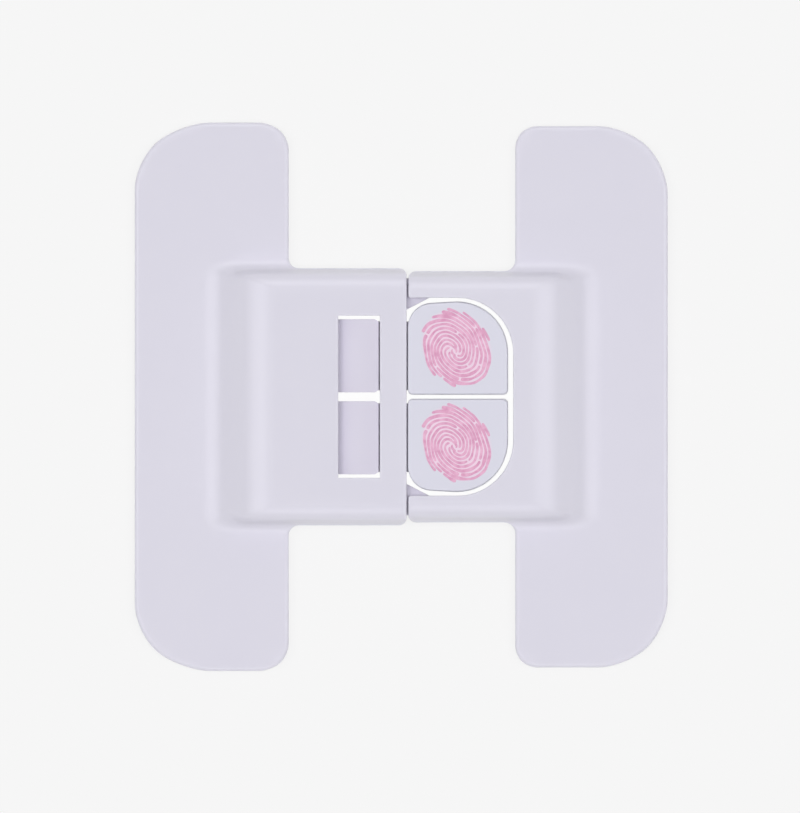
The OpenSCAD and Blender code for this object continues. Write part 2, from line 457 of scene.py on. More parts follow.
@dataclass(frozen=True)
class FoamTape:
    """Closed-cell foam tape with small round cells, with painted shade in the cells' hollows."""

    name: str
    colour: Colour
    # Colour of the painted shade in the cells' hollows
    pore: Colour
    cell_mm: float = 0.45
    cell_depth_mm: float = 0.07
    cell_softness: float = 0.35
    cell_share: float = 0.8
    clouds: Mottle = Mottle(3.0, 3.0, 0.37)
    cloud_share: float = 0.35
    gloss: float = 0.2
    roughness: float = 0.84
    roughness_swing: float = 0.1

    def material(self) -> Material:
        """Build the foam's material.

        Returns:
            The finished material.
        """
        tree = Tree(self.name)
        cells = tree.node(
            "ShaderNodeTexVoronoi",
            {"feature": "SMOOTH_F1"},
            {"Vector": tree.place(), "Scale": 1 / (self.cell_mm * MM), "Smoothness": self.cell_softness},
            "Distance",
        )
        cloud = tree.noise(self.clouds)
        # Painted shade darkens the cells' hollows, and a random cloudy tone varies it
        shade = (cells * self.cell_share + cloud * self.cloud_share).at_most(1.0)
        return tree.surface(
            Base_Color=tree.blend(shade, self.pore, self.colour),
            Roughness=cloud * self.roughness_swing + self.roughness,
            Specular_IOR_Level=self.gloss,
            Normal=tree.bump(cells, self.cell_depth_mm),
        )


@dataclass(frozen=True)
class PaleFloor:
    """Plain pale floor that keeps a soft shadow, with painted light where it shows through the lock's slits:
    a little whiter there, and without its shadow.

    It is clear from below, and for light within the contact gap, so that the tape's underside is lit.
    Lengths are in millimetres.
    """

    name: str = "pale_floor"
    colour: Colour = linear(246, 246, 246)
    # Colour of the painted light under the lock's slits, then the middle, half sizes and soft edge of its
    # patch
    slit_colour: Colour = linear(253, 253, 253)
    slits_middle_x: float = 4.0
    slits_half: Point = (19.0, 21.0)
    soft_edge: float = 4.0
    shadow_share: float = 0.1
    contact_gap: float = 0.5

    def material(self) -> Material:
        """Build the floor's material.

        Returns:
            The finished material.
        """
        tree = Tree(self.name)
        # Share of the painted light under the lock's slits, which fades out over the soft edge
        places = (tree.along(Axis.X) - self.slits_middle_x * MM, tree.along(Axis.Y))
        under_x, under_y = (
            ((half * MM - place.absolute()) / (self.soft_edge * MM)).clamped()
            for half, place in zip(self.slits_half, places)
        )
        under = under_x * under_y
        kinds = ("Is Camera Ray", "Is Glossy Ray", "Is Transmission Ray")
        straight, glossy, passing = (tree.ray(kind) for kind in kinds)
        seen = straight.at_least(glossy).at_least(passing)
        # Whiter under the lock's slits: painted light
        pale = tree.blend(under, self.colour, self.slit_colour)
        glow = tree.node("ShaderNodeEmission", {}, {"Color": pale, "Strength": 1.0})
        matt = tree.node("ShaderNodeBsdfDiffuse", {}, {"Color": (*self.colour, 1.0)})
        # Under the lock's slits the painted light also takes the floor's shadow away
        share = seen * (1.0 - self.shadow_share * (1.0 - under))
        lit = tree.node("ShaderNodeMixShader", {}, {0: share, 1: matt, 2: glow})
        behind = tree.node("ShaderNodeNewGeometry", {}, {}, "Backfacing")
        resting = tree.ray("Ray Length") < self.contact_gap * MM
        clear_share = behind.at_least(resting * (1.0 - seen))
        clear = tree.node("ShaderNodeBsdfTransparent", {}, {})
        return tree.closed(tree.node("ShaderNodeMixShader", {}, {0: clear_share, 1: lit, 2: clear}))


def bevel(
    bm: BMesh, geom: Iterable[Any], radius: float, steps: int = EDGE_STEPS, rounded: Rounded = Rounded.EDGES
) -> None:
    """Round some edges or corners of a mesh.

    Args:
        bm: Mesh, in millimetres.
        geom: Its edges or corner points to round.
        radius: Radius that they get.
        steps: Segments across each round.
        rounded: Which of the two are rounded.
    """
    bmesh.ops.bevel(
        bm,
        geom=list(geom),
        offset=radius,
        offset_type="OFFSET",
        affect=rounded.value,
        segments=steps,
        profile=0.5,
        material=-1,
        clamp_overlap=rounded is Rounded.EDGES,
    )


def corner_outline(bm: BMesh, corners: Sequence[Corner]) -> None:
    """Draw a closed outline as one face, and round its corners.

    Args:
        bm: Empty bmesh, in millimetres.
        corners: Place and radius of each corner, in order.
    """
    verts = [bm.verts.new((x, y, 0.0)) for x, y, _ in corners]
    bm.faces.new(verts)
    for radius in sorted({r for _, _, r in corners if r > 0}):
        taken = [v for v, (_, _, r) in zip(verts, corners) if r == radius]
        steps = max(LEAST_CORNER_STEPS, round(radius * CORNER_STEPS_PER_MM))
        bevel(bm, taken, radius, steps, Rounded.CORNERS)


def extrude_up(bm: BMesh, height: float = 0.0) -> list[BMVert]:
    """Make a flat outline a closed solid.

    Args:
        bm: Mesh of the outline, in millimetres.
        height: Height of the solid.

    Returns:
        Points of its top.
    """
    made = bmesh.ops.extrude_face_region(bm, geom=list(bm.faces), use_keep_orig=True)["geom"]
    top = [v for v in made if isinstance(v, BMVert)]
    bmesh.ops.translate(bm, vec=(0.0, 0.0, height), verts=top)
    return top


def cut_lines(bm: BMesh, axis: Axis, places: Iterable[float]) -> None:
    """Cut the faces of a mesh along lines square to an axis.

    Args:
        bm: Mesh to cut.
        axis: Axis that the lines are square to.
        places: Places of the lines along it.
    """
    normal = Vector(axis.value)
    for place in places:
        everything = [*bm.verts, *bm.edges, *bm.faces]
        bmesh.ops.bisect_plane(bm, geom=everything, dist=CUT_MERGE, plane_co=normal * place, plane_no=normal)


def spread(low: float, high: float, step: float) -> list[float]:
    """Evenly spread places between two ends, both kept, at most a step apart."""
    return list(np.linspace(low, high, max(2, math.ceil((high - low) / step) + 1)))


def merge_places(places: Iterable[float]) -> list[float]:
    """Sort places and drop those that lie too close to the one before.

    Args:
        places: Places in any order.

    Returns:
        The places that are left.
    """
    kept: list[float] = []
    for place in sorted(places):
        if not kept or place - kept[-1] >= LEAST_CUT:
            kept.append(place)
    return kept


def add_box(bm: BMesh, low: Sequence[float], high: Sequence[float], edge: float) -> None:
    """Add a closed box with rounded edges.

    Args:
        bm: Mesh to add to, in millimetres.
        low: Lowest corner.
        high: Highest corner.
        edge: Radius of its edges.
    """
    size, middle = Vector(high) - Vector(low), (Vector(high) + Vector(low)) / 2
    placed = Matrix.Translation(middle) @ Matrix.Diagonal((*size, 1.0))
    made = bmesh.ops.create_cube(bm, size=1.0, matrix=placed)
    bevel(bm, {e for v in made["verts"] for e in v.link_edges}, edge)


def add_pin(bm: BMesh, centre: Point, low: float, high: float, diameter: float, edge: float) -> None:
    """Add an upright round pin with rounded ends.

    Args:
        bm: Mesh to add to, in millimetres.
        centre: Place of the pin's axis.
        low: Height of its foot.
        high: Height of its head.
        diameter: Its diameter.
        edge: Radius of its end edges.
    """
    made = bmesh.ops.create_cone(
        bm,
        cap_ends=True,
        cap_tris=False,
        segments=PIN_SIDES,
        radius1=diameter / 2,
        radius2=diameter / 2,
        depth=high - low,
        matrix=Matrix.Translation((*centre, (low + high) / 2)),
    )
    edges = {e for v in made["verts"] for e in v.link_edges}
    bevel(bm, [e for e in edges if abs(e.verts[0].co.z - e.verts[1].co.z) < edge], edge)


def merged_copy(node: str) -> BMesh:
    """Copy a node's solid as a closed mesh with whole flat faces.

    Args:
        node: Name of the node.

    Returns:
        The mesh, in millimetres.
    """
    bm = bmesh.new()
    bm.from_mesh(frame["nodes"][node].data)
    bmesh.ops.scale(bm, vec=(1 / MM,) * 3, verts=bm.verts)
    bmesh.ops.remove_doubles(bm, verts=bm.verts, dist=SOLID_MERGE)
    bmesh.ops.dissolve_limit(bm, angle_limit=FLAT_ANGLE, verts=bm.verts, edges=bm.edges)
    return bm


def sharp_edges(bm: BMesh) -> list[BMEdge]:
    """List the sharp edges of a closed mesh."""
    return [e for e in bm.edges if len(e.link_faces) == 2 and e.calc_face_angle(0.0) > SHARP_ANGLE]


def new_object(name: str, data: bpy.types.ID) -> Object:
    """Make an object and link it to the scene.

    Args:
        name: Name of the object.
        data: Its mesh, lamp or camera.

    Returns:
        The object.
    """
    made = bpy.data.objects.new(name, data)
    bpy.context.scene.collection.objects.link(made)
    return made


def new_piece(bm: BMesh, name: str, material: Material) -> Object:
    """Turn a mesh in millimetres into a smooth object in its place.

    Args:
        bm: The mesh, which is freed.
        name: Name of the piece.
        material: Its material.

    Returns:
        The new object.
    """
    bmesh.ops.scale(bm, vec=(MM, MM, MM), verts=bm.verts)
    bmesh.ops.recalc_face_normals(bm, faces=bm.faces)
    for face in bm.faces:
        face.smooth = True
    mesh = bpy.data.meshes.new(name)
    bm.to_mesh(mesh)
    bm.free()
    mesh.set_sharp_from_angle(angle=SHARP_ANGLE)
    mesh.materials.append(material)
    return new_object(name, mesh)


def seat(piece: Object, body: Body, slot: Slot, *nodes: str) -> Object:
    """Let a piece ride on its body and stand for its nodes.

    Args:
        piece: The piece.
        body: Body that it rides on.
        slot: Material slot of its finish; not used.
        *nodes: Nodes that it stands for.

    Returns:
        The piece.
    """
    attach(piece, body.value)
    if nodes:
        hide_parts(*nodes)
    return piece


@dataclass(frozen=True)
class Bank:
    """A bank that falls from a flat top to a flat foot, with an arc at its head and at its foot.

    Lengths are in millimetres. Its straight stretch, drawn on, meets the foot's level at the place foot.
    """

    foot: float
    run: float
    rise: float
    head_r: float
    foot_r: float

    @property
    def angle(self) -> float:
        """Steepness of the bank."""
        return math.atan2(self.rise, self.run)

    @property
    def start(self) -> float:
        """Place where the bank begins to fall."""
        return self.foot - self.run - self.head_r * math.tan(self.angle / 2)

    @property
    def head_end(self) -> float:
        """Place where the arc at the head ends."""
        return self.start + self.head_r * math.sin(self.angle)

    @property
    def end(self) -> float:
        """Place where the bank has run out."""
        return self.foot + self.foot_r * math.tan(self.angle / 2)

    @property
    def foot_start(self) -> float:
        """Place where the arc at the foot begins."""
        return self.end - self.foot_r * math.sin(self.angle)

    def height(self, place: Numbers) -> Numbers:
        """Height above the level of the foot.

        Args:
            place: Places along the fall.

        Returns:
            The heights.
        """
        past_start = np.clip(place - self.start, 0, self.head_end - self.start)
        before_end = np.clip(self.end - place, 0, self.end - self.foot_start)
        head_arc = self.rise - self.head_r + np.sqrt(self.head_r**2 - past_start**2)
        foot_arc = self.foot_r - np.sqrt(self.foot_r**2 - before_end**2)
        straight = (self.foot - place) * math.tan(self.angle)
        below_head = np.where(place < self.foot_start, straight, foot_arc)
        return np.where(place <= self.head_end, head_arc, below_head)

    def lines(self, arc_step: float, straight_step: float) -> list[float]:
        """Places at which a mesh over the bank is cut.

        Args:
            arc_step: Largest distance of two places on an arc.
            straight_step: Largest distance of two places on the straight stretch.

        Returns:
            The places.
        """
        return [
            *spread(self.start, self.head_end, arc_step),
            *spread(self.head_end, self.foot_start, straight_step),
            *spread(self.foot_start, self.end, arc_step),
        ]


@dataclass
class Cover:
    """A half's moulded cover: a thin wing and a hollow bridge that rises from it over a slope.

    Lengths are in millimetres. The half is drawn on the +X side, and mirrored where it lies on the -X side.
    """

    name: str
    node: str
    body: Body
    plug_side_gap: float
    plug_top_gap: float
    mirrored: bool = False
    wing_w: float = 26.0
    wing_outer: Point = (13.4, 10.8)
    wing_inner: Point = (5.2, 4.4)
    notch_r: float = 1.7
    corner_r: float = 1.3
    wing_t: float = 2.2
    slope_run: float = 7.2
    slope_r: float = 5.0
    slope_pull: float = 0.48
    slope_head_r: float = 6.9
    side_run: float = 1.2
    side_foot_r: float = 2.0
    edge_r: float = 2.7
    corner_power: float = 4.0
    roof_t: float = 2.0
    wing_rim: float = 0.7
    end_rim: float = 0.24
    tape_inset: float = 1.5
    rim_lines: tuple[float, ...] = (0.4, 0.5, 0.6, 0.7, 0.85)
    coarse_step: float = 1.0
    round_step: float = 0.4
    slope_step: float = 0.28
    side_arc_step: float = 0.16
    side_step: float = 0.06
    wall_step: float = 0.02

    def __post_init__(self) -> None:
        """Take the cover's own sizes, its tunnel's and its slope's from the frame."""
        low, high = node_box(self.node)
        tape_low, tape_high = node_box(f"{self.body.value}_tape_middle")
        plug_high = node_box("latch_frame")[1]
        self.wing_h = high.y - low.y
        self.half_w = max(-low.x, high.x)
        self.end_x = -high.x if self.mirrored else low.x
        self.tape_top = low.z
        self.wing_top = low.z + self.wing_t
        self.bridge_rise = high.z - self.wing_top
        self.bridge_y = tape_high.y + self.tape_inset
        self.wall_x = (-tape_high.x if self.mirrored else tape_low.x) - self.tape_inset
        self.slope_foot = self.wall_x + self.roof_t / math.sin(self.slope_angle)
        self.inner_y = plug_high.y + self.plug_side_gap
        self.tunnel_top = plug_high.z + self.plug_top_gap

    @property
    def wing_edge(self) -> float:
        """Distance of the wing's inner edge from the middle of the lock."""
        return self.half_w - self.wing_w

    @property
    def slope_angle(self) -> float:
        """Steepness of the slope."""
        return math.atan2(self.bridge_rise, self.slope_run)

    @property
    def slope(self) -> Bank:
        """Slope from the bridge's roof down to the wing."""
        foot, run = self.slope_foot - self.slope_pull, self.slope_run - self.slope_pull
        return Bank(foot, run, self.bridge_rise, self.slope_head_r, self.slope_r)

    @property
    def side(self) -> Bank:
        """Steep side of the bridge, with its rounded edge and the fillet at its foot."""
        return Bank(self.bridge_y, self.side_run, self.bridge_rise, self.edge_r, self.side_foot_r)

    def bridge_end(self) -> list[Corner]:
        """Corners of the bridge's free end, from the lower side to the upper."""
        return [(self.end_x, sign * self.bridge_y, self.corner_r) for sign in (-1, 1)]

    @staticmethod
    def oval(x: float, y: float, inwards: Point, size: Point) -> list[Corner]:
        """Two corners that together round one corner of the wing as part of an oval.

        Args:
            x: Place of the sharp corner.
            y: Its place along the wing.
            inwards: Signs of the ways along both edges.
            size: Lengths of the round along both edges.

        Returns:
            The corner on the edge along X, then the one on the edge along Y.
        """
        along, across = (OVAL_SHARE * length for length in size)
        taken = OVAL_ROUND * math.hypot(along, across)
        return [(x + inwards[0] * along, y, taken), (x, y + inwards[1] * across, taken)]

    def corners(self) -> list[Corner]:
        """List the corners of the cover's plan, in order round it.

        Returns:
            Place and radius of each corner.
        """
        h, inner, by = self.wing_h / 2, self.wing_edge, self.bridge_y
        return [
            *reversed(self.oval(inner, -h, (1, 1), self.wing_inner)),
            *self.oval(self.half_w, -h, (-1, 1), self.wing_outer),
            *reversed(self.oval(self.half_w, h, (-1, -1), self.wing_outer)),
            *self.oval(inner, h, (1, -1), self.wing_inner),
            (inner, by, self.notch_r),
            *reversed(self.bridge_end()),
            (inner, -by, self.notch_r),
        ]

    def x_lines(self) -> list[float]:
        """List the places along X at which the plan is cut.

        Returns:
            The places in any order.
        """
        last, edges = self.half_w - self.coarse_step, ((self.half_w, -1), (self.wing_edge, 1))
        return [
            *spread(self.end_x + self.coarse_step, last, self.coarse_step),
            *spread(self.slope.start, self.slope.end, self.slope_step),
            *spread(self.half_w - self.wing_outer[0], last, self.round_step),
            *(edge + sign * depth for edge, sign in edges for depth in self.rim_lines),
            self.wall_x - self.wall_step,
            self.wall_x + self.wall_step,
        ]

    def y_lines(self) -> list[float]:
        """List the places along +Y at which the plan is cut, repeated on the -Y side.

        Returns:
            The places in any order.
        """
        h, last = self.wing_h / 2, self.wing_h / 2 - self.coarse_step
        return [
            *spread(self.coarse_step / 2, last, self.coarse_step),
            *spread(h - self.wing_outer[1], last, self.round_step),
            *self.side.lines(self.side_arc_step, self.side_step),
            *(h - depth for depth in self.rim_lines),
            self.inner_y - self.wall_step,
            self.inner_y + self.wall_step,
        ]

    def rise(self, x: Numbers, y: Numbers) -> Numbers:
        """Height of the bridge above the wing, where slope and side run into each other round a soft corner.

        Args:
            x: Distances from the middle of the lock.
            y: Distances from the bridge's middle plane.

        Returns:
            The heights.
        """
        slope, side = self.slope, self.side
        along = np.maximum(x - slope.start, 0) / (slope.end - slope.start)
        across = np.maximum(np.abs(y) - side.start, 0) / (side.end - side.start)
        whole = along**self.corner_power + across**self.corner_power
        share = np.divide(along**self.corner_power, whole, out=np.ones_like(whole), where=whole > 0)
        reach = whole ** (1 / self.corner_power)
        on_slope = slope.height(slope.start + reach * (slope.end - slope.start))
        on_side = side.height(side.start + reach * (side.end - side.start))
        return share * on_slope + (1 - share) * on_side

    def underside(self, x: Numbers, y: Numbers) -> Numbers:
        """Height of the cover's underside, with the tunnel under the bridge.

        Args:
            x: Distances from the middle of the lock.
            y: Distances from the bridge's middle plane.

        Returns:
            The heights.
        """
        sloped = self.wing_top + (self.wall_x - x) * math.tan(self.slope_angle)
        inside = (x < self.wall_x) & (np.abs(y) < self.inner_y)
        return np.where(inside, np.minimum(self.tunnel_top, sloped), self.tape_top)

    def rim_radius(self, x: float, y: float) -> float:
        """Radius of the cover's rim at a place on its outline.

        Args:
            x: Distance from the middle of the lock.
            y: Distance from the bridge's middle plane.

        Returns:
            The radius, which is zero along the bridge's sides and grows round the notch beside them.
        """
        if x > self.wing_edge + self.wall_step:
            return self.wing_rim
        if abs(y) > self.bridge_y - self.wall_step:
            return self.wing_rim * min(1.0, max(0.0, (abs(y) - self.bridge_y) / self.notch_r))
        return self.end_rim

    def rims(self, bm: BMesh) -> list[Rim]:
        """Both ends of each segment of a plan's outline, with the rim's radius at each end."""
        ends = [[v.co.copy() for v in edge.verts] for edge in bm.edges]
        return [(a, b, self.rim_radius(a.x, a.y), self.rim_radius(b.x, b.y)) for a, b in ends]

    @staticmethod
    def rim_drop(x: Numbers, y: Numbers, rims: Sequence[Rim]) -> Numbers:
        """How far the top falls where it nears a rim.

        Args:
            x: Distances from the middle of the lock.
            y: Distances from the bridge's middle plane.
            rims: Segments of the outline with their radii.

        Returns:
            The drop at each place.
        """
        nearest = np.full(x.shape, np.inf)
        radius = np.zeros(x.shape)
        for a, b, a_radius, b_radius in rims:
            dx, dy = b.x - a.x, b.y - a.y
            share = np.clip(((x - a.x) * dx + (y - a.y) * dy) / (dx * dx + dy * dy), 0, 1)
            distance = np.hypot(x - a.x - share * dx, y - a.y - share * dy)
            closer = distance < nearest
            nearest = np.where(closer, distance, nearest)
            radius = np.where(closer, a_radius + share * (b_radius - a_radius), radius)
        inset = np.clip(radius - nearest, 0, radius)
        return radius - np.sqrt(np.maximum(radius**2 - inset**2, 0))

    def pierce(self, bm: BMesh) -> list[Rim]:
        """Cut openings into the plan and list their rims; a plain cover has none."""
        del bm
        return []

    def add_fittings(self, bm: BMesh) -> None:
        """Add what is moulded inside the cover; a plain cover has nothing."""
        del bm

    @staticmethod
    def lift(verts: Sequence[BMVert], height: Callable[[Numbers, Numbers], Numbers]) -> None:
        """Set the heights of a surface's points.

        Args:
            verts: Points of the surface.
            height: Height at each place of the plan.
        """
        places = np.array([v.co[:2] for v in verts])
        for vert, z in zip(verts, height(places[:, 0], places[:, 1])):
            vert.co.z = z

    def mesh(self) -> BMesh:
        """Build the cover's shell from its plan.

        Returns:
            The closed mesh, in millimetres.
        """
        bm = bmesh.new()
        corner_outline(bm, self.corners())
        rims = self.rims(bm)
        for before, depth in zip((0.0, *RING_DEPTHS), RING_DEPTHS):
            inner = max(bm.faces, key=lambda f: f.calc_area())
            bmesh.ops.inset_region(
                bm, faces=[inner], thickness=depth - before, use_boundary=True, use_even_offset=True
            )
        cut_lines(bm, Axis.X, merge_places(self.x_lines()))
        cut_lines(bm, Axis.Y, merge_places(sign * y for y in self.y_lines() for sign in (1, -1)))
        rims += self.pierce(bm)
        bottom = list(bm.verts)
        top = extrude_up(bm)
        self.lift(bottom, self.underside)
        self.lift(top, lambda x, y: self.wing_top + self.rise(x, y) - self.rim_drop(x, y, rims))
        bmesh.ops.dissolve_degenerate(bm, dist=CUT_MERGE, edges=bm.edges)
        self.add_fittings(bm)
        if self.mirrored:
            bmesh.ops.scale(bm, vec=(-1.0, 1.0, 1.0), verts=bm.verts)
        return bm

    def build(self, plastic: Material) -> Object:
        """Build the cover and dress it in its plastic."""
        return seat(new_piece(self.mesh(), self.name, plastic), self.body, Slot.COVER, self.node)


@dataclass
class KeeperCover(Cover):
    """Keeper half's cover, with the window that the hooks catch in and the ribs that the rails run on."""

    name: str = "keeper_shell"
    node: str = "keeper_cover"
    body: Body = Body.KEEPER
    plug_side_gap: float = 0.3
    plug_top_gap: float = 0.3
    mirrored: bool = True
    window_x: Point = (3.6, 10.6)
    window_slit: float = 0.6
    window_rim: float = 0.2
    window_far_line: float = 0.45
    rib_w: float = 1.6
    rib_end_gap: float = 0.2
    rib_edge: float = 0.2

    def __post_init__(self) -> None:
        """Take the window's width and the ribs' length and height from the frame."""
        super().__post_init__()
        plug_low = node_box("latch_frame")[0]
        self.window_y = node_box("upper_tongue")[1].y + self.window_slit
        self.window_lines = [*RING_DEPTHS, self.window_far_line, self.window_rim]
        self.rib_x = (self.end_x + self.rib_end_gap, -plug_low.x - self.rib_end_gap)
        self.rib_top = plug_low.z - self.plug_top_gap

    def x_lines(self) -> list[float]:
        """List the places along X at which the plan is cut, with the window's edges.

        Returns:
            The places in any order.
        """
        low, high = self.window_x
        beside = [place for depth in self.window_lines for place in (low - depth, high + depth)]
        return super().x_lines() + [low, high, *beside]

    def y_lines(self) -> list[float]:
        """Places along +Y at which the plan is cut, with the window's ends."""
        return super().y_lines() + [self.window_y, *(self.window_y + depth for depth in self.window_lines)]

    def pierce(self, bm: BMesh) -> list[Rim]:
        """Cut the window.

        Args:
            bm: Plan of the cover, in its place on the +X side.

        Returns:
            Segments of the window's rim with their radii.
        """
        (low, high), y = self.window_x, self.window_y
        middles = [(face, face.calc_center_median()) for face in bm.faces]
        inside = [face for face, middle in middles if low < middle.x < high and abs(middle.y) < y]
        bmesh.ops.delete(bm, geom=inside, context="FACES")
        ring = [Vector(p) for p in ((low, -y, 0), (high, -y, 0), (high, y, 0), (low, y, 0))]
        return [(ring[i - 1], ring[i], self.window_rim, self.window_rim) for i in range(len(ring))]

    def add_fittings(self, bm: BMesh) -> None:
        """Add the two guide ribs.

        Args:
            bm: Mesh of the cover, in its place on the +X side.
        """
        (x0, x1), sides = self.rib_x, (self.inner_y - self.rib_w, self.inner_y + self.rib_edge)
        for sign in (1, -1):
            y0, y1 = sorted(sign * side for side in sides)
            add_box(bm, (x0, y0, self.tape_top), (x1, y1, self.rib_top), self.rib_edge)


@dataclass
class LatchCover(Cover):
    """Latch half's cover, with the round-ended opening for the buttons and the posts that hold the plug."""

    name: str = "latch_shell"
    node: str = "latch_cover"
    body: Body = Body.LATCH
    plug_side_gap: float = 0.05
    plug_top_gap: float = 0.0
    wing_w: float = 25.75
    wing_outer: Point = (11.9, 11.5)
    wing_inner: Point = (3.7, 3.6)
    notch_r: float = 1.9
    well_gap: float = 0.85
    well_r: float = 9.4
    well_rim_reach: float = 0.05
    well_lines_reach: float = 0.6
    well_step: float = 0.5
    arm_gap: float = 0.6
    arm_r: float = 0.4
    bar_l: float = 4.8
    post_shares: Point = (0.28, 0.8)
    post_d: float = 2.4
    post_edge: float = 0.1
    post_head_d: float = 4.2
    post_head_t: float = 0.9
    post_head_edge: float = 0.3

    def __post_init__(self) -> None:
        """Take the opening's size and the posts' places from the frame."""
        super().__post_init__()
        button_high = node_box("upper_button")[1]
        plug_low, plug_high = node_box("latch_frame")
        self.well_x = button_high.x + self.well_gap
        self.well_y = button_high.y + self.arm_gap
        self.post_x = plug_high.x - self.bar_l / 2
        self.post_y = [sign * share * plug_high.y for share in self.post_shares for sign in (1, -1)]
        self.plug_z = (plug_low.z, plug_high.z)

    def bridge_end(self) -> list[Corner]:
        """List the corners of the arms and of the opening between them, from the lower side to the upper.

        Returns:
            Place and radius of each corner.
        """
        upper = [
            (self.well_x, self.well_y, self.well_r),
            (self.end_x, self.well_y, self.arm_r),
            (self.end_x, self.bridge_y, self.corner_r),
        ]
        return [(x, -y, r) for x, y, r in reversed(upper)] + upper

    def well_lines(self, end: float) -> list[float]:
        """Finer lines over the round of the opening that ends at a given place."""
        return spread(end - self.well_r, end + self.well_lines_reach, self.well_step)

    def x_lines(self) -> list[float]:
        """Places along X at which the plan is cut, with finer lines round the opening's end."""
        return super().x_lines() + self.well_lines(self.well_x)

    def y_lines(self) -> list[float]:
        """Places along +Y at which the plan is cut, with finer lines round the opening's end."""
        return super().y_lines() + self.well_lines(self.well_y)

    def rim_radius(self, x: float, y: float) -> float:
        """Radius of the cover's rim on its outline, which is that of a free end all round the opening."""
        in_well = abs(y) < self.well_y + self.well_rim_reach and x < self.well_x + self.well_rim_reach
        return self.end_rim if in_well else super().rim_radius(x, y)

    def add_fittings(self, bm: BMesh) -> None:
        """Add the staked posts with their flattened heads.

        Args:
            bm: Mesh of the cover, in its place on the +X side.
        """
        (low, high), head = self.plug_z, self.post_head_t
        for y in self.post_y:
            centre = (self.post_x, y)
            add_pin(bm, centre, low - head / 2, high + self.roof_t / 2, self.post_d, self.post_edge)
            add_pin(bm, centre, low - head, low, self.post_head_d, self.post_head_edge)


@dataclass
class Plug:
    """The latch's plug: nose, rails, gussets and cross bar, with softened edges."""

    name: str = "plug_frame"
    node: str = "latch_frame"
    edge: float = 0.16

    def build(self, plastic: Material) -> Object:
        """Build and dress the plug.

        Args:
            plastic: Its plastic.

        Returns:
            The finished piece.
        """
        bm = merged_copy(self.node)
        bevel(bm, sharp_edges(bm), self.edge)
        return seat(new_piece(bm, self.name, plastic), Body.LATCH, Slot.PLUG, self.node)


@dataclass
class Tongue:
    """A spring tongue rooted in the plug's nose, cut finer where it would bend. Lengths are in millimetres.
    """

    side: Side
    edge: float = 0.18
    hook_corner_r: float = 0.7
    hook_corner_turn: float = math.radians(66)
    hook_corner_steps: int = 5
    crest_reach: float = 1.4
    root_gap: float = 0.6
    bend_l: float = 10.0
    bend_step: float = 0.5

    def crest(self, bm: BMesh) -> list[BMVert]:
        """Points of the hook's crest."""
        top = max(v.co.z for v in bm.verts)
        return [v for v in bm.verts if v.co.z > top - self.edge]

    def steepen_hook(self, bm: BMesh) -> None:
        """Draw the start of the hook's crest out over its ramp, so that the ramp is short and steep.

        Args:
            bm: Mesh of the tongue.
        """
        crest = self.crest(bm)
        start = min(v.co.x for v in crest)
        verts = [v for v in crest if v.co.x < start + self.edge]
        bmesh.ops.translate(bm, vec=(-self.crest_reach, 0.0, 0.0), verts=verts)

    def round_hook(self, bm: BMesh) -> None:
        """Round the corners of the hook's catching end, and keep the blade behind it as narrow as that end.

        Args:
            bm: Mesh of the tongue.
        """
        end = max(v.co.x for v in self.crest(bm))
        low, high = min(v.co.y for v in bm.verts), max(v.co.y for v in bm.verts)
        r, last = self.hook_corner_r, self.hook_corner_turn
        length = r * math.sin(last)
        turns = spread(0.0, last, last / self.hook_corner_steps)
        cut_lines(bm, Axis.X, [end - length + r * math.sin(turn) for turn in turns])
        for vert in bm.verts:
            past = min(max(vert.co.x - end + length, 0.0), length)
            inset = r - math.sqrt(r**2 - past**2)
            vert.co.y = min(max(vert.co.y, low + inset), high - inset)

    def build(self, plastic: Material) -> Object:
        """Build and dress the tongue.

        Args:
            plastic: Its plastic.

        Returns:
            The finished piece.
        """
        node = f"{self.side.word}_tongue"
        joints = {joint["name"]: joint for joint in frame["record"]["behaviour"]["joints"]}
        start = Vector(joints[f"{self.side.word}_press"]["pos_m"])
        end = start + Vector((self.bend_l * MM, 0.0, 0.0))
        bm = merged_copy(node)
        self.steepen_hook(bm)
        self.round_hook(bm)
        bevel(bm, sharp_edges(bm), self.edge)
        cut_lines(bm, Axis.X, spread(start.x / MM + self.root_gap, end.x / MM, self.bend_step))
        piece = new_piece(bm, f"{self.side.word}_spring_tongue", plastic)
        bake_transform(piece)
        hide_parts(node)
        return piece


